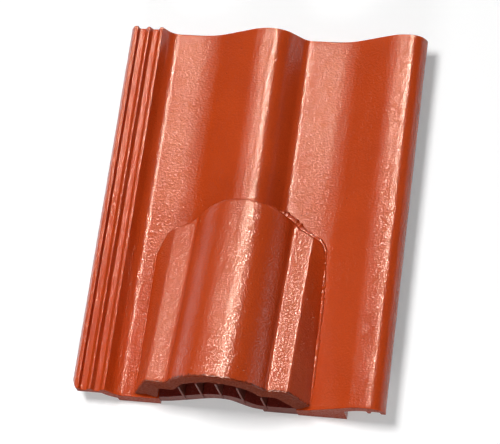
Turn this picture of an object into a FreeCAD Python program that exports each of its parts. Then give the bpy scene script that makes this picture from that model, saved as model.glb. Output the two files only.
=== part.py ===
import FreeCAD, Part
import math
import os

# Ventilation roof tile: an interlocking pantile of pressed concrete with a cast cowl
# bonded over an air hole, and a finned grille in the cowl's mouth.
# Millimetres. X runs across the tile from the underlap to the cover lap, Y runs up the
# slope from the eaves end to the head end, Z is up. Origin: bottom centre of the whole.

# tile
TILE_LENGTH = 420.0
TILE_WIDTH = 330.0
WAVE_PITCH = 150.0
CREST_X = -5.0
CREST_Z = 44.7
TROUGH_Z = 17.2
SHELL = 11.0
CREST_RADIUS_STEEP = 29.0
CREST_RADIUS_GENTLE = 46.0
TROUGH_RADIUS_STEEP = 14.0
TROUGH_RADIUS_GENTLE = 70.0
STEEP_ANGLE = 50.0
GENTLE_ANGLE = 26.0

# underlap: ribs and grooves along the left edge
RIB_Z = 33.0
GROOVE_Z = 27.0
UNDERLAP_BOTTOM_Z = 21.0
EDGE_CHAMFER_WIDTH = 4.5
EDGE_CHAMFER_DROP = 7.65
UNDERLAP_RIM = 1.0
SHOULDER_FROM_EDGE = 36.8
UNDERLAP_FLANK_ANGLE = 60.0
UNDERLAP_TROUGH_RADIUS = 16.0
RIB_STATIONS = (EDGE_CHAMFER_WIDTH, 8.8, 9.8, 15.6, 20.0, 22.0, 24.6, 29.8, 33.8)
CORNER_CUT_X = 6.0
CORNER_CUT_Y = 10.0

# cover lap: ribs under the right edge that sit in the next tile's grooves
LAP_FLOOR_CLEARANCE = 0.5
LAP_RIB_FROM_EDGE = (20.0, 19.0, 15.6, 14.4)
LAP_TOE_FROM_EDGE = (6.4, 5.2)

# feet under the eaves end and hanging nibs under the head end
FOOT_DEPTH = 15.0
LEFT_FOOT_X = (-119.0, -74.0)
RIGHT_FOOT_X = (35.0, 122.0)
NIB_DEPTH = 16.0
NIB_WIDTH = 34.0
NIB_FROM_HEAD = 8.0
NIB_X = (-98.0, 52.0)

# air hole through the shell, under the cowl
HOLE_LENGTH = 60.0
HOLE_WIDTH = 84.0
HOLE_CENTRE_X = -6.0
HOLE_CENTRE_FROM_EAVES = 124.0
HOLE_CORNER_RADIUS = 10.0

# cowl
COWL_SHELL = 12.0
COWL_LEFT_FOOT = 25.5
COWL_RIGHT_FOOT = 15.5
COWL_LEDGE_WALL = 14.0
COWL_SLOPE = 10.0
COWL_LEFT_X = -100.0
COWL_RIGHT_X = 88.0
COWL_END_DRAFT = 14.0
COWL_SHOULDER_FROM_EAVES = 160.0
COWL_CORNER_X = 11.0
COWL_CORNER_FROM_EAVES = 184.0
COWL_PEAK_X = -15.0
COWL_PEAK_FROM_EAVES = 222.0
LEDGE_Z = 63.5
LEDGE_LEFT_X = -80.5
LEDGE_RIGHT_X = 68.5
LEDGE_END_LEFT_X = -64.0
LEDGE_END_RIGHT_X = 52.0
LEDGE_END_FROM_EAVES = 198.0
DOME_X = -6.0
DOME_Z = 98.0
DOME_RADIUS = 56.0

# grille
FIN_COUNT = 5
FIN_FIRST_X = -43.5
FIN_PITCH = 20.8
FIN_THICKNESS = 1.8
FIN_DEPTH = 12.0
RAIL_DEPTH = 22.0
FIN_HEADROOM = 0.3
FIN_LAP = 8.0
RAIL_THICKNESS = 2.5
LIP_THICKNESS = 2.5
LIP_SET_BACK = 1.0
LIP_CLEARANCE = 0.3
MOUTH_LEFT_X = -72.5
MOUTH_RIGHT_X = 71.0

LEFT = -TILE_WIDTH / 2
RIGHT = TILE_WIDTH / 2
FRONT = -TILE_LENGTH / 2
HEAD = TILE_LENGTH / 2
NEXT_CREST_X = CREST_X + WAVE_PITCH
FAR = 400.0
NEAR = 100.0


def point(x, z, y=0.0):
    return FreeCAD.Vector(x, y, z)


def polar(centre, radius, degrees):
    angle = math.radians(degrees)
    return point(centre[0] + radius * math.cos(angle), centre[1] + radius * math.sin(angle))


def arc(centre, radius, start, end):
    """Arc in the XZ plane about centre (x, z), from one angle to another in degrees."""
    middle = polar(centre, radius, (start + end) / 2)
    return Part.Arc(polar(centre, radius, start), middle, polar(centre, radius, end)).toShape()


def joined(pieces):
    """Edges in order, with a straight edge across each gap between one and the next."""
    edges = []
    for piece in pieces:
        if edges:
            last = edges[-1].valueAt(edges[-1].LastParameter)
            first = piece.valueAt(piece.FirstParameter)
            if last.distanceToPoint(first) > 1e-6:
                edges.append(Part.LineSegment(last, first).toShape())
        edges.append(piece)
    return edges


def polyline(points):
    corners = [point(x, z) for x, z in points]
    return [Part.LineSegment(a, b).toShape() for a, b in zip(corners, corners[1:])]


def closed_face(edges):
    start = edges[0].valueAt(edges[0].FirstParameter)
    end = edges[-1].valueAt(edges[-1].LastParameter)
    if start.distanceToPoint(end) > 1e-6:
        edges = edges + [Part.LineSegment(end, start).toShape()]
    return Part.Face(Part.Wire(edges))


def extruded(face, front, back):
    face = face.copy()
    face.translate(FreeCAD.Vector(0, front, 0))
    return face.extrude(FreeCAD.Vector(0, back - front, 0))


def block(x_range, y_range, z_range):
    size = [high - low for low, high in (x_range, y_range, z_range)]
    corner = FreeCAD.Vector(x_range[0], y_range[0], z_range[0])
    return Part.makeBox(size[0], size[1], size[2], corner)


def flank_run(rise, angle, radii):
    """Plan length of a flank with a tangent arc at each end."""
    slope = math.radians(angle)
    straight = rise - radii * (1 - math.cos(slope))
    return straight / math.tan(slope) + radii * math.sin(slope)


def gentle_foot_x(crest_x):
    radii = CREST_RADIUS_GENTLE + TROUGH_RADIUS_GENTLE
    return crest_x - flank_run(CREST_Z - TROUGH_Z, GENTLE_ANGLE, radii)


def steep_foot_x(crest_x):
    radii = CREST_RADIUS_STEEP + TROUGH_RADIUS_STEEP
    return crest_x + flank_run(CREST_Z - TROUGH_Z, STEEP_ANGLE, radii)


def shoulder_foot_x():
    slope = math.radians(UNDERLAP_FLANK_ANGLE)
    straight = RIB_Z - TROUGH_Z - UNDERLAP_TROUGH_RADIUS * (1 - math.cos(slope))
    run = straight / math.tan(slope) + UNDERLAP_TROUGH_RADIUS * math.sin(slope)
    return LEFT + SHOULDER_FROM_EDGE + run


def gentle_rise(crest_x, depth):
    """Trough arc and crest arc of a gentle flank, on the surface a depth under the top."""
    trough = (gentle_foot_x(crest_x), TROUGH_Z + TROUGH_RADIUS_GENTLE)
    crest = (crest_x, CREST_Z - CREST_RADIUS_GENTLE)
    return [
        arc(trough, TROUGH_RADIUS_GENTLE + depth, 270, 270 + GENTLE_ANGLE),
        arc(crest, CREST_RADIUS_GENTLE - depth, 90 + GENTLE_ANGLE, 90),
    ]


def steep_fall(crest_x, depth):
    trough = (steep_foot_x(crest_x), TROUGH_Z + TROUGH_RADIUS_STEEP)
    crest = (crest_x, CREST_Z - CREST_RADIUS_STEEP)
    return [
        arc(crest, CREST_RADIUS_STEEP - depth, 90, 90 - STEEP_ANGLE),
        arc(trough, TROUGH_RADIUS_STEEP + depth, 270 - STEEP_ANGLE, 270),
    ]


def waves(depth):
    return gentle_rise(CREST_X, depth) + steep_fall(CREST_X, depth) + gentle_rise(NEXT_CREST_X, depth)


def underlap_top():
    heights = (RIB_Z, RIB_Z, GROOVE_Z, GROOVE_Z, RIB_Z, RIB_Z, GROOVE_Z, GROOVE_Z, RIB_Z)
    outer = [(LEFT, UNDERLAP_BOTTOM_Z), (LEFT, RIB_Z - EDGE_CHAMFER_DROP)]
    ribs = [(LEFT + x, z) for x, z in zip(RIB_STATIONS, heights)]
    return polyline(outer + ribs + [(LEFT + SHOULDER_FROM_EDGE, RIB_Z)])


def underlap_flank(depth):
    centre = (shoulder_foot_x(), TROUGH_Z + UNDERLAP_TROUGH_RADIUS)
    start = 270 - UNDERLAP_FLANK_ANGLE
    if depth:
        rise = (centre[1] - UNDERLAP_BOTTOM_Z) / (UNDERLAP_TROUGH_RADIUS + depth)
        start = 180 + math.degrees(math.asin(rise))
    return [arc(centre, UNDERLAP_TROUGH_RADIUS + depth, start, 270)]


def lap_tip_z():
    return GROOVE_Z + LAP_FLOOR_CLEARANCE


def lap_nose():
    radius = CREST_Z - lap_tip_z()
    return [arc((RIGHT - radius, lap_tip_z()), radius, 90, 0)]


def lap_underside():
    """Rib and toe under the cover lap, from the crest out to the tip."""
    roof = CREST_Z - SHELL
    tip = lap_tip_z()
    rib = [(RIGHT - x, z) for x, z in zip(LAP_RIB_FROM_EDGE, (roof, tip, tip, roof))]
    toe = [(RIGHT - x, z) for x, z in zip(LAP_TOE_FROM_EDGE, (roof, tip))]
    return polyline(rib + toe + [(RIGHT, tip)])


def top_edges():
    return joined(underlap_top() + underlap_flank(0) + waves(0) + lap_nose())


def underside_edges():
    start = polyline([(LEFT, UNDERLAP_BOTTOM_Z), (LEFT + UNDERLAP_RIM, UNDERLAP_BOTTOM_Z)])
    return joined(start + underlap_flank(SHELL) + waves(SHELL) + lap_underside())


def shell_section():
    underside = [reversed_edge(edge) for edge in reversed(underside_edges())]
    return Part.Face(Part.Wire(joined(top_edges() + underside)))


def reversed_edge(edge):
    start = edge.valueAt(edge.FirstParameter)
    end = edge.valueAt(edge.LastParameter)
    middle = edge.valueAt((edge.FirstParameter + edge.LastParameter) / 2)
    if edge.Curve.TypeId == "Part::GeomLine":
        return Part.LineSegment(end, start).toShape()
    return Part.Arc(end, middle, start).toShape()


def ground_under(edges, front, back, raised=0.0):
    """All that lies under a line of edges, as a solid between two Y planes."""
    skirt = polyline([(RIGHT, -FAR), (LEFT, -FAR)])
    solid = extruded(closed_face(joined(edges + skirt)), front, back)
    solid.translate(FreeCAD.Vector(0, 0, raised))
    return solid


def pad(x_range, y_range):
    """A foot or nib: solid from the floor up to the shell."""
    column = block(x_range, y_range, (0.0, CREST_Z))
    return column.common(ground_under(top_edges(), FRONT, HEAD))


def air_hole():
    half_x = HOLE_WIDTH / 2
    half_y = HOLE_LENGTH / 2
    x_range = (HOLE_CENTRE_X - half_x, HOLE_CENTRE_X + half_x)
    centre_y = FRONT + HOLE_CENTRE_FROM_EAVES
    y_range = (centre_y - half_y, centre_y + half_y)
    cutter = block(x_range, y_range, (-1.0, FAR))
    upright = [e for e in cutter.Edges if abs(e.tangentAt(e.FirstParameter).z) > 0.99]
    return cutter.makeFillet(HOLE_CORNER_RADIUS, upright)


def corner_cut():
    """Plan cut across the eaves corner of the underlap."""
    corner = FreeCAD.Vector(LEFT, FRONT, 0)
    along_x = FreeCAD.Vector(LEFT + CORNER_CUT_X, FRONT, 0)
    along_y = FreeCAD.Vector(LEFT, FRONT + CORNER_CUT_Y, 0)
    return Part.Face(Part.makePolygon([corner, along_x, along_y, corner])).extrude(FreeCAD.Vector(0, 0, FAR))


def tile_blank():
    tile = extruded(shell_section(), FRONT, HEAD)
    front_y = (FRONT, FRONT + FOOT_DEPTH)
    nib_y = (HEAD - NIB_FROM_HEAD - NIB_DEPTH, HEAD - NIB_FROM_HEAD)
    pads = [pad(LEFT_FOOT_X, front_y), pad(RIGHT_FOOT_X, front_y)]
    pads += [pad((x - NIB_WIDTH / 2, x + NIB_WIDTH / 2), nib_y) for x in NIB_X]
    return tile.fuse(pads).removeSplitter()


def lip_slot():
    """Set-back of the tile's eaves edge that the grille's lip fills."""
    x_range = (MOUTH_LEFT_X - LIP_CLEARANCE, MOUTH_RIGHT_X + LIP_CLEARANCE)
    return block(x_range, (FRONT - 1, FRONT + LIP_SET_BACK + LIP_THICKNESS + LIP_CLEARANCE), (-1.0, FAR))


def make_tile():
    return tile_blank().cut(air_hole()).cut(corner_cut()).cut(lip_slot())


def cowl_plan(z, inset):
    """Plan outline of the cowl's head end at a height; its sides stand clear of the cowl."""
    back = (z - TROUGH_Z) * math.tan(math.radians(COWL_END_DRAFT)) + inset
    shoulder = FRONT + COWL_SHOULDER_FROM_EAVES - back
    corner = FRONT + COWL_CORNER_FROM_EAVES - back
    ledge_end = FRONT + LEDGE_END_FROM_EAVES - back
    peak = FRONT + COWL_PEAK_FROM_EAVES - back
    outline = [
        (COWL_LEFT_X - NEAR, FRONT - NEAR),
        (COWL_LEFT_X - NEAR, shoulder),
        (COWL_LEFT_X, shoulder),
        (COWL_LEFT_X + COWL_CORNER_X, corner),
        (LEDGE_END_LEFT_X, ledge_end),
        (COWL_PEAK_X, peak),
        (LEDGE_END_RIGHT_X, ledge_end),
        (COWL_RIGHT_X - COWL_CORNER_X, corner),
        (COWL_RIGHT_X, shoulder),
        (COWL_RIGHT_X + NEAR, shoulder),
        (COWL_RIGHT_X + NEAR, FRONT - NEAR),
    ]
    p = [FreeCAD.Vector(x, y, z) for x, y in outline]
    edges = [Part.LineSegment(a, b).toShape() for a, b in zip(p[:4], p[1:5])]
    edges.append(Part.Arc(p[4], p[5], p[6]).toShape())
    edges += [Part.LineSegment(a, b).toShape() for a, b in zip(p[6:], p[7:] + p[:1])]
    return Part.Wire(edges)


def cowl_section(y, hollow):
    """Cross-section at a station, outside or hollow: straight sides, two flat ledges and a dome."""
    inset = COWL_SHELL if hollow else 0.0
    corner_inset = COWL_LEDGE_WALL if hollow else 0.0
    foot_left = COWL_LEFT_X + (COWL_LEFT_FOOT if hollow else 0.0)
    foot_right = COWL_RIGHT_X - (COWL_RIGHT_FOOT if hollow else 0.0)
    drop = (y - FRONT) * math.tan(math.radians(COWL_SLOPE))
    ledge = LEDGE_Z - inset - drop
    radius = DOME_RADIUS - inset
    centre = (DOME_X, DOME_Z - DOME_RADIUS - drop)
    start = math.degrees(math.asin((ledge - centre[1]) / radius))
    left = [(foot_left, TROUGH_Z), (LEDGE_LEFT_X + corner_inset, ledge)]
    right = [(LEDGE_RIGHT_X - corner_inset, ledge), (foot_right, TROUGH_Z)]
    floor = [(foot_right, -1.0), (foot_left, -1.0)]
    sides = polyline(floor[1:] + left) + [arc(centre, radius, 180 - start, start)] + polyline(right + floor)
    wire = Part.Wire(joined(sides))
    wire.translate(FreeCAD.Vector(0, y, 0))
    return wire


def cowl_volume(hollow):
    stations = (FRONT - 1.0, FRONT + COWL_PEAK_FROM_EAVES + 1.0)
    body = Part.makeLoft([cowl_section(y, hollow) for y in stations], True, True)
    inset = COWL_SHELL if hollow else 0.0
    plans = [cowl_plan(0.0, inset), cowl_plan(NEAR, inset)]
    return body.common(Part.makeLoft(plans, True, True))


def make_cowl():
    outer = cowl_volume(False)
    hollow = cowl_volume(True)
    tile_mass = ground_under(top_edges(), FRONT - NEAR, HEAD)
    in_front = block((-FAR, FAR), (FRONT - NEAR, FRONT), (-FAR, FAR))
    return outer.cut(hollow).cut(tile_mass).cut(in_front)


def fin_positions():
    return [FIN_FIRST_X + i * FIN_PITCH for i in range(FIN_COUNT)]


def make_fin(x, hollow, blank):
    """One upright fin, lapping the front of the lip and ending just below the cowl's roof."""
    x_range = (x - FIN_THICKNESS / 2, x + FIN_THICKNESS / 2)
    tall = block(x_range, (FRONT, FRONT + FIN_DEPTH), (0.0, FAR))
    lowered = hollow.copy()
    lowered.translate(FreeCAD.Vector(0, 0, -FIN_HEADROOM))
    above = tall.common(lowered).cut(ground_under(top_edges(), FRONT - 1, HEAD))
    front_strip = block(x_range, (FRONT, FRONT + LIP_SET_BACK + LIP_THICKNESS), (0.0, FAR))
    below_lap = ground_under(top_edges(), FRONT - 1, HEAD, -FIN_LAP)
    return above.fuse(front_strip.common(blank).cut(below_lap))


def make_grille():
    blank = tile_blank()
    hollow = cowl_volume(True)
    mouth_x = (MOUTH_LEFT_X, MOUTH_RIGHT_X)
    lip_y = (FRONT + LIP_SET_BACK, FRONT + LIP_SET_BACK + LIP_THICKNESS)
    lip = blank.common(block(mouth_x, lip_y, (0.0, FAR)))
    raised = ground_under(top_edges(), FRONT, HEAD, RAIL_THICKNESS)
    rail = raised.cut(ground_under(top_edges(), FRONT - 1, HEAD + 1))
    rail = rail.common(block(mouth_x, (lip_y[0], FRONT + RAIL_DEPTH), (0.0, FAR))).common(hollow)
    fins = [make_fin(x, hollow, blank) for x in fin_positions()]
    return lip.fuse([rail] + fins).removeSplitter()


def main():
    os.makedirs("parts", exist_ok=True)
    pieces = {"tile_body": make_tile(), "cowl": make_cowl(), "vent_grille": make_grille()}
    for name, shape in pieces.items():
        solids = shape.Solids
        box = shape.optimalBoundingBox(False)
        corners = [round(value, 2) for value in (box.XMin, box.XMax, box.YMin, box.YMax, box.ZMin, box.ZMax)]
        print(name, len(solids), "solid, valid", shape.isValid(), "volume", round(shape.Volume), corners)
        shape = solids[0] if len(solids) == 1 else shape
        shape.exportStep("parts/" + name + ".step")


main()
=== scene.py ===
import math
import random

import bmesh
import bpy
from mathutils import Matrix, Vector, noise
from mathutils.bvhtree import BVHTree


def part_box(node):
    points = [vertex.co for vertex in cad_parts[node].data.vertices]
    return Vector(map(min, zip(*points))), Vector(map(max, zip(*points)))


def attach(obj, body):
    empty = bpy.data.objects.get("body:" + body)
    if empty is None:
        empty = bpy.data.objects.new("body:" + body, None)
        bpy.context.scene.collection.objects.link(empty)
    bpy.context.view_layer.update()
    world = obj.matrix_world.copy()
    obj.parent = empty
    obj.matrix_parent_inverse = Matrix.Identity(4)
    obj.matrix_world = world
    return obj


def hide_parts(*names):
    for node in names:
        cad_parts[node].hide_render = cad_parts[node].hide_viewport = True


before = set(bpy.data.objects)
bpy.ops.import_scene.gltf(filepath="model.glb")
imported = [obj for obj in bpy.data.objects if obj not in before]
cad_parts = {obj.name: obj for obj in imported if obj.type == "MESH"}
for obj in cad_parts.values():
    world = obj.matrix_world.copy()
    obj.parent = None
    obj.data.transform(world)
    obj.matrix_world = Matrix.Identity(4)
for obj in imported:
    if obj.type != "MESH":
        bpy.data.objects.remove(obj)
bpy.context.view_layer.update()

MM = 0.001
rng = random.Random(11)

TILE_LOW, TILE_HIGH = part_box("tile_body")
FRONT = TILE_LOW.y
HEAD = TILE_HIGH.y
LEFT = TILE_LOW.x

# tile
SECTION_Y = 100 * MM          # a station where the shell has no pad, hole or cowl
ROW_STEP = 4 * MM
EDGE_ROUND = 0.7 * MM
RIB_ROUND = 0.9 * MM
LEFT_FOOT_X = (-119 * MM, -74 * MM)
RIGHT_FOOT_X = (35 * MM, 122 * MM)
FOOT_DEPTH = 15 * MM
NIB_X = (-98 * MM, 52 * MM)
NIB_WIDTH = 34 * MM
NIB_DEPTH = 16 * MM
NIB_FROM_HEAD = 8 * MM
HOLE_LOW = (-48 * MM, -116 * MM)
HOLE_HIGH = (36 * MM, -56 * MM)
HOLE_ROUND = 10 * MM
SLOT_X = (-72.8 * MM, 71.3 * MM)
SLOT_DEPTH = 3.8 * MM
CORNER_CUT_X = 6 * MM
CORNER_CUT_Y = 10 * MM
SLOT_OVER = 5 * MM            # how far the slot's box runs past the edge and the underside
PAD_SINK = 4 * MM             # how far feet and nibs reach up into the shell
PAD_STEPS = 24
PLUG_BOTTOM = -10 * MM        # cutting plugs run from below the tile to above it
PLUG_TOP = 90 * MM
WEDGE_OVER = 2 * MM
OUTLINE_STEP = 3 * MM
ROUND_STEPS = 4
FLAT_TURN = 0.3               # degrees: an outline point that turns less is left out
SHARP_TURN = 24               # degrees: an outline corner that turns less isn't rounded
MIN_LENGTH = 1e-7
TILE_CREASE = 38              # degrees
POLE_SIDES = 12               # faces with this many sides or more stay flat

# unevenness of the pressed surfaces
WANDER_SLOW = 38 * MM
WANDER_QUICK = 7 * MM
QUICK_OFFSET = Vector((5, 2, 9))
TILE_WANDER = (0.22 * MM, 0.07 * MM)
TILE_SUNK = 0.2 * MM
TILE_END_FADE = 5 * MM
TILE_FADE_START = 0.3
TILE_STILL_BELOW = 6 * MM     # feet and nibs keep their plane faces
COWL_WANDER = (0.3 * MM, 0.09 * MM)
COWL_SUNK = 0.15 * MM

# cowl
COWL_VOXEL = 1.5 * MM
COWL_SOFTEN = 0.5
COWL_SOFTEN_TIMES = 3
BAND_LEAN = 0.25              # the mouth's front band leans back towards its outer edge
BAND_DEPTH = 8 * MM
BAND_RAG = 1.2 * MM
BAND_RAG_SIZE = 4 * MM
DOME_X = -6 * MM
DOME_Z = 98 * MM
DOME_RADIUS = 56 * MM
LEDGE_Z = 63.5 * MM
COWL_SLOPE = math.tan(math.radians(10))
COWL_SHELL = 12 * MM
COWL_LEFT_X = -100 * MM
COWL_RIGHT_X = 88 * MM
COWL_LEFT_FOOT = 25.5 * MM
COWL_RIGHT_FOOT = 15.5 * MM
LEFT_CHEEK_LEAN = 0.233
RIGHT_CHEEK_LEAN = 0.525
TROUGH_Z = 17.2 * MM

# mortar bead where the cowl meets the tile
BEAD_CENTRE = Vector((-6 * MM, -95 * MM))
BEAD_STEPS = 420
BEAD_SIDES = 7
BEAD_RADIUS = 1.9 * MM
BEAD_START = -55              # degrees round BEAD_CENTRE, from the cowl's right foot
BEAD_SWEEP = 290
BEAD_SEARCH_OUT = 0.25        # the search starts this far outside the cowl
BEAD_FIRST_HEIGHT = 30 * MM
BEAD_TRIES = 5
BEAD_OFF_WALL = 0.3 * MM
BEAD_OFF_TILE = 0.4 * MM
BEAD_DROP_FROM = 0.2
BEAD_OFF_FRONT = 2 * MM
BEAD_CORNER = 62              # degrees: where the bead is heaviest
BEAD_CORNER_WIDTH = 14
BEAD_CORNER_EXTRA = 0.9
BEAD_THIN_FROM = 110          # degrees: the rear and left side have a thinner bead
BEAD_THIN = 0.45
BEAD_TAPER = 6                # rings
BEAD_LEAST = 0.15
BEAD_LUMP = (0.45, 9 * MM)    # strength and size of its unevenness
BEAD_CRUMB = (0.6, 3.5 * MM)
BEAD_RANDOM = 0.08
BEAD_FLATTEN = 1.25

# floor: matt white near the tile, and glowing to full white further out
FLOOR_SIZE = 12
FLOOR_COLOUR = (0.8, 0.8, 0.8, 1)
FLOOR_NEAR = 0.5
FLOOR_FAR = 1.3
FLOOR_GLOW = 0.29

# world: strength below and above a narrow band over the horizon
HORIZON_LIGHT = 1.0
OVERHEAD_LIGHT = 0.06
HORIZON_TOP = 0.08
OVERHEAD_FROM = 0.15

# lamps: name, place, size, watts, and whether it makes the highlights or the even light
HIGHLIGHT_TINT = (1.0, 0.72, 0.56)
EVEN_TINT = (1, 1, 1)
LAMPS = (
    ("soft_key", (-0.65, 0.15, 2.55), (0.7, 0.7), 56, False),
    ("front_low", (0.0, -1.8, 0.9), (1.0, 0.5), 12, False),
    ("strip_main", (0.27, 1.15, 1.9), (0.05, 1.5), 66, True),
    ("strip_wide", (-1.2, 1.1, 1.5), (0.30, 1.7), 7.5, True),
    ("strip_ledge", (-0.61, 1.03, 1.80), (0.16, 0.24), 12, True),
)

# camera: standing beyond the eaves end, to the right, looking steeply down
CAMERA_PLACE = Vector((0.4258, -0.8090, 2.0751))
CAMERA_BACK = Vector((0.1910, -0.3563, 0.9146))
CAMERA_RIGHT = Vector((0.9794, 0.1313, -0.1534))
CAMERA_LENS = 152.5
CAMERA_SENSOR = 36
CAMERA_FAR = 50

# paint, concrete and plastic, with painted shade along the cowl's front rim and painted light on the grille
PAINT = (0.49, 0.052, 0.006, 1)
PAINT_DARK = (0.455, 0.046, 0.005, 1)
PAINT_LIGHT = (0.52, 0.058, 0.007, 1)
# painted shade: near-black colour for a ragged strip along the cowl's front edge
RIM_SHADE_COLOUR = (0.06, 0.010, 0.004, 1)
PIT_COLOUR = (0.10, 0.012, 0.006, 1)
CONCRETE = (0.13, 0.022, 0.010, 1)
CONCRETE_LIGHT = (0.24, 0.055, 0.030, 1)
# the grille's maroon in two copies, painted light and shade: a lit copy for faces that point up and a shaded
# copy for the rest
LIT_TOP_DARK = (0.16, 0.016, 0.010, 1)
LIT_TOP_LIGHT = (0.28, 0.036, 0.026, 1)
SHADED_SIDE_DARK = (0.11, 0.020, 0.012, 1)
SHADED_SIDE_LIGHT = (0.18, 0.040, 0.026, 1)
SPECK_COLOUR = (0.30, 0.17, 0.19, 1)
TILE_GRAIN = 0.42 * MM        # depth of the bump
COWL_GRAIN = 0.48 * MM
BEAD_GRAIN = 0.5 * MM
PLASTIC_GRAIN = 0.4 * MM
TILE_BARE_ENDS = 0.75

# noise scales, in cells a metre
RAGGED_SCALE = 300
UNDER_SCALE = 60
TONE_SCALE = 22
FLECK_SCALE = 900
PIT_SCALE = 150
PIT_PATCH_SCALE = 35
STONE_SCALE = 800
GLOSS_SCALE = 14
GLOSS_FINE_SCALE = 1100
PEEL_SCALE = 470
SAND_SCALE = 900
SWELL_SCALE = 120
SPARKLE_SCALE = 640
MOTTLE_SCALE = 500
SPECK_SCALE = 420
SPECK_PATCH_SCALE = 160
PLASTIC_SCALE = 700


def object_from(name, bm):
    mesh = bpy.data.meshes.new(name)
    bm.normal_update()
    bm.to_mesh(mesh)
    bm.free()
    piece = bpy.data.objects.new(name, mesh)
    bpy.context.scene.collection.objects.link(piece)
    return piece


def applied(piece):
    """Bakes the piece's modifiers into its mesh."""
    graph = bpy.context.evaluated_depsgraph_get()
    mesh = bpy.data.meshes.new_from_object(piece.evaluated_get(graph))
    piece.modifiers.clear()
    old = piece.data
    piece.data = mesh
    bpy.data.meshes.remove(old)
    return piece


def smooth_shaded(piece, angle):
    """Smooth shading, with edges sharper than the angle (degrees) left crisp."""
    bm = bmesh.new()
    bm.from_mesh(piece.data)
    for face in bm.faces:
        face.smooth = len(face.verts) < POLE_SIDES
    for edge in bm.edges:
        if len(edge.link_faces) == 2 and edge.calc_face_angle(0.0) > math.radians(angle):
            edge.smooth = False
    bm.to_mesh(piece.data)
    bm.free()


# ---------------------------------------------------------------- the tile's section

def section_loop(node, y):
    """The closed outline, as (x, z) points in order, where a plane at y cuts a CAD node."""
    bm = bmesh.new()
    bm.from_mesh(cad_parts[node].data)
    bmesh.ops.remove_doubles(bm, verts=bm.verts, dist=1e-6)
    geom = list(bm.verts) + list(bm.edges) + list(bm.faces)
    cut = bmesh.ops.bisect_plane(bm, geom=geom, plane_co=(0, y, 0), plane_no=(0, 1, 0),
                                 clear_inner=True, clear_outer=True)["geom_cut"]
    edges = [g for g in cut if isinstance(g, bmesh.types.BMEdge)]
    start = edges[0].verts[0]
    loop = [start]
    used = set()
    here = start
    while True:
        step = next((e for e in here.link_edges if e in edges and e not in used), None)
        if step is None:
            break
        used.add(step)
        here = step.other_vert(here)
        if here is start:
            break
        loop.append(here)
    points = [Vector((v.co.x, v.co.z)) for v in loop]
    bm.free()
    area = sum(a.x * b.y - b.x * a.y for a, b in zip(points, points[1:] + points[:1]))
    return points if area > 0 else points[::-1]


def without_flat_points(points):
    kept = []
    count = len(points)
    for i in range(count):
        a, b, c = points[i - 1], points[i], points[(i + 1) % count]
        before, after = b - a, c - b
        if min(before.length, after.length) <= MIN_LENGTH:
            continue
        if math.degrees(abs(before.angle_signed(after))) > FLAT_TURN:
            kept.append(b)
    return kept


def rounded(points, radius):
    """Replaces each sharp corner of a closed outline with a small arc."""
    out = []
    count = len(points)
    for i in range(count):
        a, b, c = points[i - 1], points[i], points[(i + 1) % count]
        before, after = (b - a), (c - b)
        turn = before.angle(after)
        if math.degrees(turn) < SHARP_TURN:
            out.append(b)
            continue
        reach = min(radius * math.tan(turn / 2), before.length * 0.45, after.length * 0.45)
        start, end = b - before.normalized() * reach, b + after.normalized() * reach
        for k in range(ROUND_STEPS + 1):
            t = k / ROUND_STEPS
            out.append(start * (1 - t) ** 2 + b * 2 * t * (1 - t) + end * t * t)
    return out


def evened(points, step):
    """The closed outline with its long sides divided into steps."""
    out = []
    for a, b in zip(points, points[1:] + points[:1]):
        parts = max(1, round((b - a).length / step))
        out += [a.lerp(b, k / parts) for k in range(parts)]
    return out


def inward(points):
    """Unit normals pointing into a counter-clockwise outline."""
    normals = []
    count = len(points)
    for i in range(count):
        along = points[(i + 1) % count] - points[i - 1]
        normals.append(Vector((-along.y, along.x)).normalized())
    return normals


def end_rows(start, step_sign):
    """Rows at one end: the outline shrinks towards the end face to round its edge."""
    rows = []
    for k in range(ROUND_STEPS + 1):
        angle = math.radians(90 * k / ROUND_STEPS)
        y = start + step_sign * EDGE_ROUND * (1 - math.cos(angle))
        rows.append((y, EDGE_ROUND * (1 - math.sin(angle))))
    return rows


def tile_shell(section):
    """The section drawn out from the eaves edge to the head edge."""
    outline = evened(rounded(without_flat_points(section), RIB_ROUND), OUTLINE_STEP)
    normals = inward(outline)
    inner_start, inner_end = FRONT + EDGE_ROUND, HEAD - EDGE_ROUND
    count = round((inner_end - inner_start) / ROW_STEP)
    middle = [(inner_start + (inner_end - inner_start) * i / count, 0.0) for i in range(1, count)]
    rows = end_rows(FRONT, 1) + middle + end_rows(HEAD, -1)[::-1]
    bm = bmesh.new()
    grid = []
    for y, inset in rows:
        ring = []
        for p, n in zip(outline, normals):
            place = p + n * inset
            ring.append(bm.verts.new((place.x, y, place.y)))
        grid.append(ring)
    size = len(outline)
    for ring, following in zip(grid, grid[1:]):
        for i in range(size):
            j = (i + 1) % size
            bm.faces.new((ring[i], ring[j], following[j], following[i]))
    bm.faces.new(list(reversed(grid[0])))
    bm.faces.new(grid[-1])
    bmesh.ops.recalc_face_normals(bm, faces=bm.faces)
    return object_from("tile_shell", bm)


def underside_height(outline, x):
    """Lowest crossing of the outline at x: the shell's underside."""
    crossings = []
    for a, b in zip(outline, outline[1:] + outline[:1]):
        if min(a.x, b.x) <= x < max(a.x, b.x):
            crossings.append(a.y + (b.y - a.y) * (x - a.x) / (b.x - a.x))
    return min(crossings)


def pad_into(bm, outline, x_range, y_range):
    """A foot or nib: from the floor up into the shell, whose underside it follows."""
    xs = [x_range[0] + (x_range[1] - x_range[0]) * i / PAD_STEPS for i in range(PAD_STEPS + 1)]
    profile = [(x, underside_height(outline, x) + PAD_SINK) for x in xs]
    profile = [(x_range[0], 0.0)] + profile + [(x_range[1], 0.0)]
    ends = [[bm.verts.new((x, y, z)) for x, z in profile] for y in y_range]
    bm.faces.new(ends[0])
    bm.faces.new(ends[1][::-1])
    for i in range(len(profile)):
        j = (i + 1) % len(profile)
        bm.faces.new((ends[0][i], ends[1][i], ends[1][j], ends[0][j]))


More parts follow.
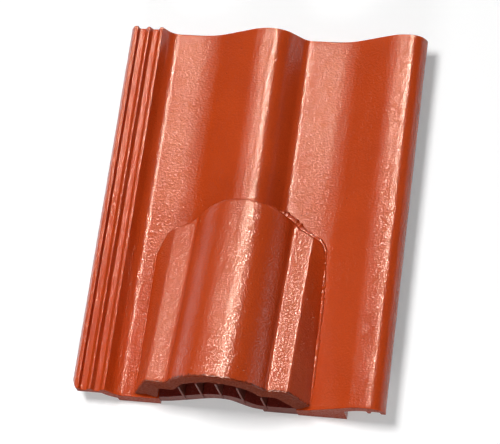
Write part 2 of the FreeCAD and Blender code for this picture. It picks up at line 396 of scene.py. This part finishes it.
def box_into(bm, low, high):
    made = bmesh.ops.create_cube(bm, size=1)
    centre = (Vector(low) + Vector(high)) / 2
    size = Vector(high) - Vector(low)
    bmesh.ops.scale(bm, vec=size, verts=made["verts"])
    bmesh.ops.translate(bm, vec=centre, verts=made["verts"])


def plug_into(bm, plan):
    """Upright plug over a plan of (x, y) points."""
    bottom = [bm.verts.new((x, y, PLUG_BOTTOM)) for x, y in plan]
    top = [bm.verts.new((x, y, PLUG_TOP)) for x, y in plan]
    bm.faces.new(bottom[::-1])
    bm.faces.new(top)
    for i in range(len(plan)):
        j = (i + 1) % len(plan)
        bm.faces.new((bottom[i], bottom[j], top[j], top[i]))


def rounded_hole(bm):
    """Plug with rounded corners, cut out of the shell as the air hole."""
    rim = []
    corners = ((HOLE_HIGH[0], HOLE_HIGH[1], 0), (HOLE_LOW[0], HOLE_HIGH[1], 90),
               (HOLE_LOW[0], HOLE_LOW[1], 180), (HOLE_HIGH[0], HOLE_LOW[1], 270))
    for x, y, start in corners:
        cx = x - math.copysign(HOLE_ROUND, x - (HOLE_LOW[0] + HOLE_HIGH[0]) / 2)
        cy = y - math.copysign(HOLE_ROUND, y - (HOLE_LOW[1] + HOLE_HIGH[1]) / 2)
        for k in range(7):
            angle = math.radians(start + 15 * k)
            rim.append((cx + HOLE_ROUND * math.cos(angle), cy + HOLE_ROUND * math.sin(angle)))
    plug_into(bm, rim)


def corner_wedge(bm):
    """Plug that cuts off the tile's left eaves corner."""
    outer_x, outer_y = LEFT - WEDGE_OVER, FRONT - WEDGE_OVER
    plug_into(bm, ((outer_x, outer_y), (LEFT + CORNER_CUT_X, outer_y), (LEFT + CORNER_CUT_X, FRONT),
                   (LEFT, FRONT + CORNER_CUT_Y), (outer_x, FRONT + CORNER_CUT_Y)))


def with_boolean(piece, bm, operation):
    bmesh.ops.recalc_face_normals(bm, faces=bm.faces)
    tool = object_from("tool", bm)
    modifier = piece.modifiers.new("cut", "BOOLEAN")
    modifier.operation = operation
    modifier.solver = "EXACT"
    modifier.object = tool
    applied(piece)
    bpy.data.objects.remove(tool)


def surface_wander(place, coarse, fine):
    """Slight unevenness of a pressed and painted surface."""
    slow = noise.noise(place / WANDER_SLOW)
    quick = noise.noise(place / WANDER_QUICK + QUICK_OFFSET)
    return slow * coarse + quick * fine


def make_tile():
    outline = section_loop("tile_body", SECTION_Y)
    piece = tile_shell(outline)
    bm = bmesh.new()
    for x_range in (LEFT_FOOT_X, RIGHT_FOOT_X):
        pad_into(bm, outline, x_range, (FRONT + 0.2 * MM, FRONT + FOOT_DEPTH))
    for x in NIB_X:
        y = HEAD - NIB_FROM_HEAD
        pad_into(bm, outline, (x - NIB_WIDTH / 2, x + NIB_WIDTH / 2), (y - NIB_DEPTH, y))
    with_boolean(piece, bm, "UNION")
    bm = bmesh.new()
    rounded_hole(bm)
    corner_wedge(bm)
    box_into(bm, (SLOT_X[0], FRONT - SLOT_OVER, -SLOT_OVER), (SLOT_X[1], FRONT + SLOT_DEPTH, PLUG_TOP))
    with_boolean(piece, bm, "DIFFERENCE")
    mesh = piece.data
    normals = [v.normal.copy() for v in mesh.vertices]
    for vertex, normal in zip(mesh.vertices, normals):
        fade = min(vertex.co.y - FRONT, HEAD - vertex.co.y, TILE_END_FADE) / TILE_END_FADE
        if vertex.co.z > TILE_STILL_BELOW and fade > TILE_FADE_START:
            vertex.co += normal * (surface_wander(vertex.co, *TILE_WANDER) - TILE_SUNK) * fade
    smooth_shaded(piece, TILE_CREASE)
    return piece


# ---------------------------------------------------------------- the cowl

def cowl_depth(place):
    """How far a point lies outside the cowl's hollow, from 0 on its inside to the shell's thickness."""
    drop = (place.y - FRONT) * COWL_SLOPE
    centre = Vector((DOME_X, DOME_Z - DOME_RADIUS - drop))
    radial = (Vector((place.x, place.z)) - centre).length - (DOME_RADIUS - COWL_SHELL)
    ledge = place.z - (LEDGE_Z - COWL_SHELL - drop)
    if place.z > LEDGE_Z - drop and abs(place.x - DOME_X) < DOME_RADIUS:
        return radial
    left = COWL_LEFT_X + COWL_LEFT_FOOT + (place.z - TROUGH_Z) * LEFT_CHEEK_LEAN - place.x
    right = place.x - COWL_RIGHT_X + COWL_RIGHT_FOOT + (place.z - TROUGH_Z) * RIGHT_CHEEK_LEAN
    outside = max(ledge, left, right, 0.0)
    if abs(place.x - DOME_X) < DOME_RADIUS:
        return min(outside, max(radial, 0.0))
    return outside


def make_cowl():
    piece = bpy.data.objects.new("cowl_cast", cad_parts["cowl"].data.copy())
    bpy.context.scene.collection.objects.link(piece)
    remesh = piece.modifiers.new("remesh", "REMESH")
    remesh.mode = "VOXEL"
    remesh.voxel_size = COWL_VOXEL
    soften = piece.modifiers.new("soften", "SMOOTH")
    soften.factor = COWL_SOFTEN
    soften.iterations = COWL_SOFTEN_TIMES
    applied(piece)
    mesh = piece.data
    low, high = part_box("cowl")
    normals = [v.normal.copy() for v in mesh.vertices]
    for vertex, normal in zip(mesh.vertices, normals):
        vertex.co += normal * (surface_wander(vertex.co, *COWL_WANDER) - COWL_SUNK)
        from_front = vertex.co.y - FRONT
        if from_front < BAND_DEPTH:
            fade = 1 - from_front / BAND_DEPTH
            lean = BAND_LEAN * min(max(cowl_depth(vertex.co), 0.0), COWL_SHELL)
            vertex.co.y += lean * fade
            vertex.co.y += abs(noise.noise(vertex.co / BAND_RAG_SIZE)) * BAND_RAG * fade
        vertex.co.x = min(max(vertex.co.x, low.x), high.x)
        vertex.co.y = min(max(vertex.co.y, low.y), high.y)
        vertex.co.z = min(max(vertex.co.z, low.z), high.z)
    for polygon in mesh.polygons:
        polygon.use_smooth = True
    return piece


def tree_of(node):
    bm = bmesh.new()
    bm.from_mesh(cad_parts[node].data)
    tree = BVHTree.FromBMesh(bm)
    bm.free()
    return tree


def bead_path(tile_tree, cowl_tree):
    """Line where the cowl's outside meets the tile, from its right foot round the rear to its left foot."""
    path = []
    for index in range(BEAD_STEPS):
        turn = math.radians(BEAD_START + BEAD_SWEEP * index / (BEAD_STEPS - 1))
        outward = Vector((math.cos(turn), math.sin(turn), 0))
        height = BEAD_FIRST_HEIGHT
        hit = None
        for _ in range(BEAD_TRIES):
            start = Vector((BEAD_CENTRE.x, BEAD_CENTRE.y, height + BEAD_OFF_TILE)) + outward * BEAD_SEARCH_OUT
            hit = cowl_tree.ray_cast(start, -outward)[0]
            if hit is None:
                break
            above = hit + outward * BEAD_OFF_WALL + Vector((0, 0, BEAD_DROP_FROM))
            ground = tile_tree.ray_cast(above, Vector((0, 0, -1)))[0]
            if ground is None:
                hit = None
                break
            height = ground.z
        if hit is not None and hit.y > FRONT + BEAD_OFF_FRONT:
            path.append((Vector((hit.x, hit.y, height)), outward, turn))
    return path


def make_bead():
    """Irregular fillet of bonding mortar, heavier round the rear right corner."""
    path = bead_path(tree_of("tile_body"), tree_of("cowl"))
    bm = bmesh.new()
    rings = []
    for index, (centre, outward, turn) in enumerate(path):
        ahead = path[min(index + 1, len(path) - 1)][0] - path[max(index - 1, 0)][0]
        side = ahead.normalized().cross(Vector((0, 0, 1)))
        lift = side.cross(ahead.normalized())
        degrees = math.degrees(turn)
        corner = math.exp(-((degrees - BEAD_CORNER) / BEAD_CORNER_WIDTH) ** 2)
        end = min(1, min(index, len(path) - 1 - index) / BEAD_TAPER)
        end *= BEAD_THIN if degrees > BEAD_THIN_FROM else 1
        uneven = 1 + sum(strength * noise.noise(centre / size) for strength, size in (BEAD_LUMP, BEAD_CRUMB))
        radius = BEAD_RADIUS * uneven * (1 + BEAD_CORNER_EXTRA * corner) * max(end, BEAD_LEAST)
        radius += rng.uniform(-BEAD_RANDOM, BEAD_RANDOM) * MM
        ring = []
        for k in range(BEAD_SIDES):
            angle = math.tau * k / BEAD_SIDES
            out = side * math.cos(angle) * BEAD_FLATTEN + lift * math.sin(angle)
            ring.append(bm.verts.new(centre + out * radius))
        rings.append(ring)
    for one, two in zip(rings, rings[1:]):
        for k in range(BEAD_SIDES):
            m = (k + 1) % BEAD_SIDES
            bm.faces.new((one[k], one[m], two[m], two[k]))
    bm.faces.new(rings[0][::-1])
    bm.faces.new(rings[-1])
    bmesh.ops.recalc_face_normals(bm, faces=bm.faces)
    piece = object_from("mortar_bead", bm)
    for polygon in piece.data.polygons:
        polygon.use_smooth = True
    return piece


# ---------------------------------------------------------------- materials

class Nodes:
    """Short calls for building a node material."""

    def __init__(self, name):
        self.material = bpy.data.materials.new(name)
        self.material.use_nodes = True
        self.tree = self.material.node_tree
        self.tree.nodes.clear()
        self.output = self.add("ShaderNodeOutputMaterial")
        self.place = self.add("ShaderNodeTexCoord").outputs["Object"]

    def add(self, kind, inputs=None, **settings):
        node = self.tree.nodes.new(kind)
        for key, value in settings.items():
            setattr(node, key, value)
        for key, value in (inputs or {}).items():
            if isinstance(value, bpy.types.NodeSocket):
                self.tree.links.new(value, node.inputs[key])
            else:
                node.inputs[key].default_value = value
        return node

    def noise(self, scale, detail=3.0, roughness=0.5):
        inputs = {"Vector": self.place, "Scale": scale, "Detail": detail, "Roughness": roughness}
        return self.add("ShaderNodeTexNoise", inputs).outputs["Fac"]

    def voronoi(self, scale):
        inputs = {"Vector": self.place, "Scale": scale}
        return self.add("ShaderNodeTexVoronoi", inputs).outputs["Distance"]

    def spread(self, value, low, high, out_low=0.0, out_high=1.0):
        inputs = {"Value": value, "From Min": low, "From Max": high, "To Min": out_low, "To Max": out_high}
        return self.add("ShaderNodeMapRange", inputs).outputs["Result"]

    def math(self, operation, a, b=0.0):
        return self.add("ShaderNodeMath", {0: a, 1: b}, operation=operation).outputs[0]

    def blend(self, factor, a, b):
        inputs = {"Factor": factor, 6: a, 7: b}
        return self.add("ShaderNodeMix", inputs, data_type="RGBA").outputs[2]

    def bump(self, height, strength, distance):
        inputs = {"Height": height, "Strength": strength, "Distance": distance}
        return self.add("ShaderNodeBump", inputs).outputs["Normal"]

    def finish(self, shader):
        self.tree.links.new(shader.outputs[0], self.output.inputs["Surface"])
        return self.material


def painted_concrete(name, grain, bare_ends=1.0, rim_shade=0.0):
    """Glossy paint on concrete: orange-peel and sand grain show through; ends and underside are bare;
    rim_shade sets a painted shade strip along the front edge.
    """
    n = Nodes(name)
    split = n.add("ShaderNodeSeparateXYZ", {"Vector": n.place})
    facing = n.add("ShaderNodeSeparateXYZ", {"Vector": n.add("ShaderNodeNewGeometry").outputs["Normal"]})
    ragged = n.math("MULTIPLY", n.math("SUBTRACT", n.noise(RAGGED_SCALE, 4), 0.5), 7.0 * MM)
    toward_eaves = n.spread(facing.outputs["Y"], -0.45, -0.75)
    at_front = n.spread(n.math("ADD", split.outputs["Y"], ragged), FRONT + 6 * MM, FRONT + 4.5 * MM)
    uneven = n.math("MULTIPLY", n.noise(UNDER_SCALE), 0.2)
    under = n.spread(n.math("ADD", facing.outputs["Z"], uneven), -0.05, -0.2)
    ends = n.math("MULTIPLY", n.math("MULTIPLY", toward_eaves, at_front), bare_ends)
    bare = n.math("MAXIMUM", ends, under)

    tone = n.blend(n.spread(n.noise(TONE_SCALE, 4, 0.6), 0.25, 0.75), PAINT_DARK, PAINT_LIGHT)
    tone = n.blend(n.spread(n.noise(FLECK_SCALE, 2), 0.4, 0.7, 0.0, 0.5), tone, PAINT)
    pits = n.spread(n.voronoi(PIT_SCALE), 0.05, 0.11, 1.0, 0.0)
    pits = n.math("MULTIPLY", pits, n.spread(n.noise(PIT_PATCH_SCALE, 2), 0.60, 0.64))
    tone = n.blend(n.math("MULTIPLY", pits, 0.75), tone, PIT_COLOUR)
    stone = n.blend(n.spread(n.noise(STONE_SCALE, 4, 0.7), 0.40, 0.66), CONCRETE, CONCRETE_LIGHT)
    # painted shade: near the front edge, on faces that don't face the eaves, the paint turns near-black, as
    # strongly as rim_shade says
    rim = n.spread(n.math("ADD", split.outputs["Y"], ragged), FRONT + 6.5 * MM, FRONT + 5 * MM, 0.0, 0.8)
    rim = n.math("MULTIPLY", n.math("MULTIPLY", rim, n.math("SUBTRACT", 1.0, toward_eaves)), rim_shade)
    tone = n.blend(rim, tone, RIM_SHADE_COLOUR)
    colour = n.blend(bare, tone, stone)

    gloss = n.spread(n.noise(GLOSS_SCALE, 3), 0.3, 0.7, 0.16, 0.20)
    gloss = n.math("ADD", gloss, n.spread(n.noise(GLOSS_FINE_SCALE, 2), 0.4, 0.7, -0.03, 0.06))
    rough = n.math("ADD", gloss, n.math("MULTIPLY", bare, 0.5))

    peel = n.noise(PEEL_SCALE, 2)
    sand = n.noise(SAND_SCALE, 2, 0.6)
    swell = n.noise(SWELL_SCALE, 2)
    height = n.math("ADD", peel, n.math("MULTIPLY", sand, 0.12))
    height = n.math("ADD", height, n.math("MULTIPLY", swell, 0.45))
    height = n.math("SUBTRACT", height, n.math("MULTIPLY", pits, 0.6))
    normal = n.bump(height, 1.0, grain)
    shader = n.add("ShaderNodeBsdfPrincipled", {"Base Color": colour, "Roughness": rough, "Normal": normal})
    sparkle = n.spread(n.noise(SPARKLE_SCALE, 2, 0.6), 0.42, 0.58, 0.04, 1.1)
    shine = n.math("MULTIPLY", sparkle, n.spread(bare, 0.0, 1.0, 1.0, 0.06))
    n.tree.links.new(shine, shader.inputs["Specular IOR Level"])
    shader.inputs["IOR"].default_value = 1.5
    return n.finish(shader)


def grille_plastic():
    """Dull maroon plastic with painted light: faces that point up, the rail and lip, get a lighter lit copy
    of the colour and the fins a darker shaded copy.
    """
    n = Nodes("maroon_plastic")
    facing = n.add("ShaderNodeSeparateXYZ", {"Vector": n.add("ShaderNodeNewGeometry").outputs["Normal"]})
    mottled = n.spread(n.noise(MOTTLE_SCALE, 4, 0.7), 0.42, 0.7)
    lit_top = n.blend(mottled, LIT_TOP_DARK, LIT_TOP_LIGHT)
    shaded_side = n.blend(mottled, SHADED_SIDE_DARK, SHADED_SIDE_LIGHT)
    # painted light: faces that point up take the lit copy, the others the shaded copy
    tone = n.blend(n.spread(facing.outputs["Z"], 0.3, 0.6), shaded_side, lit_top)
    specks = n.spread(n.voronoi(SPECK_SCALE), 0.10, 0.22, 1.0, 0.0)
    specks = n.math("MULTIPLY", specks, n.spread(n.noise(SPECK_PATCH_SCALE, 2), 0.5, 0.6))
    tone = n.blend(n.math("MULTIPLY", specks, 0.8), tone, SPECK_COLOUR)
    normal = n.bump(n.noise(PLASTIC_SCALE, 3), 0.6, PLASTIC_GRAIN)
    shader = n.add("ShaderNodeBsdfPrincipled", {"Base Color": tone, "Normal": normal})
    shader.inputs["Roughness"].default_value = 0.5
    shader.inputs["Specular IOR Level"].default_value = 0.15
    return n.finish(shader)


def painted(piece, material):
    piece.data.materials.clear()
    piece.data.materials.append(material)


# ---------------------------------------------------------------- stage

def make_floor():
    """Floor that lights nothing by its glow, and is clear from below so that the underside can be seen."""
    bm = bmesh.new()
    bmesh.ops.create_grid(bm, x_segments=1, y_segments=1, size=FLOOR_SIZE)
    floor = object_from("floor", bm)
    n = Nodes("white_floor")
    paths = n.add("ShaderNodeLightPath").outputs
    seen = n.math("MAXIMUM", paths["Is Camera Ray"], paths["Is Glossy Ray"])
    seen = n.math("MAXIMUM", seen, paths["Is Transmission Ray"])
    away = n.add("ShaderNodeVectorMath", {0: n.place}, operation="LENGTH").outputs["Value"]
    level = n.spread(away, FLOOR_NEAR, FLOOR_FAR, FLOOR_GLOW, 1.0)
    matt = n.add("ShaderNodeBsdfDiffuse", {"Color": FLOOR_COLOUR})
    glow = n.add("ShaderNodeEmission", {"Color": (1, 1, 1, 1), "Strength": n.math("MULTIPLY", seen, level)})
    surface = n.add("ShaderNodeAddShader", {0: matt.outputs[0], 1: glow.outputs[0]})
    clear = n.add("ShaderNodeBsdfTransparent")
    from_below = n.add("ShaderNodeNewGeometry").outputs["Backfacing"]
    seen_through = n.add("ShaderNodeMixShader", {0: from_below, 1: surface.outputs[0], 2: clear.outputs[0]})
    painted(floor, n.finish(seen_through))


def strip_light(name, place, size, power, in_gloss):
    """Rectangular lamp aimed at the tile, long side along Y: it makes either highlights or the even light."""
    data = bpy.data.lights.new(name, "AREA")
    data.shape = "RECTANGLE"
    data.size, data.size_y = size
    data.energy = power
    data.color = HIGHLIGHT_TINT if in_gloss else EVEN_TINT
    lamp = bpy.data.objects.new(name, data)
    bpy.context.scene.collection.objects.link(lamp)
    place = Vector(place)
    back = place.normalized()
    across = Vector((0, 1, 0)).cross(back).normalized()
    along = back.cross(across)
    turn = Matrix((across, along, back)).transposed()
    lamp.matrix_world = Matrix.Translation(place) @ turn.to_4x4()
    lamp.visible_glossy = in_gloss
    lamp.visible_diffuse = not in_gloss


def make_world():
    """Studio surround: white up to the horizon, nearly dark overhead."""
    world = bpy.data.worlds.new("studio")
    world.use_nodes = True
    tree = world.node_tree
    background = tree.nodes["Background"]
    place = tree.nodes.new("ShaderNodeTexCoord")
    split = tree.nodes.new("ShaderNodeSeparateXYZ")
    level = tree.nodes.new("ShaderNodeMapRange")
    tree.links.new(place.outputs["Generated"], split.inputs["Vector"])
    tree.links.new(split.outputs["Z"], level.inputs["Value"])
    level.inputs["From Min"].default_value = HORIZON_TOP
    level.inputs["From Max"].default_value = OVERHEAD_FROM
    level.inputs["To Min"].default_value = HORIZON_LIGHT
    level.inputs["To Max"].default_value = OVERHEAD_LIGHT
    background.inputs["Color"].default_value = (1, 1, 1, 1)
    tree.links.new(level.outputs["Result"], background.inputs["Strength"])
    bpy.context.scene.world = world


def make_camera():
    data = bpy.data.cameras.new("camera")
    data.sensor_width = CAMERA_SENSOR
    data.lens = CAMERA_LENS
    data.clip_end = CAMERA_FAR
    camera = bpy.data.objects.new("camera", data)
    bpy.context.scene.collection.objects.link(camera)
    back = CAMERA_BACK.normalized()
    up = back.cross(CAMERA_RIGHT).normalized()
    right = up.cross(back)
    turn = Matrix((right, up, back)).transposed()
    camera.matrix_world = Matrix.Translation(CAMERA_PLACE) @ turn.to_4x4()
    bpy.context.scene.camera = camera


def main():
    tile = make_tile()
    painted(tile, painted_concrete("painted_tile", TILE_GRAIN, TILE_BARE_ENDS))
    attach(tile, "root")
    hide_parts("tile_body")
    cowl = make_cowl()
    painted(cowl, painted_concrete("painted_cowl", COWL_GRAIN, rim_shade=1.0))
    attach(cowl, "root")
    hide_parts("cowl")
    bead = make_bead()
    painted(bead, painted_concrete("painted_bead", BEAD_GRAIN))
    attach(bead, "root")
    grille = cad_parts["vent_grille"]
    if not grille.material_slots:
        grille.data.materials.append(None)
    plastic = grille_plastic()
    for slot in grille.material_slots:
        slot.link = "OBJECT"
        slot.material = plastic
    make_floor()
    make_world()
    for name, place, size, power, in_gloss in LAMPS:
        strip_light(name, place, size, power, in_gloss)
    make_camera()
    bpy.context.scene.view_settings.view_transform = "Standard"


main()
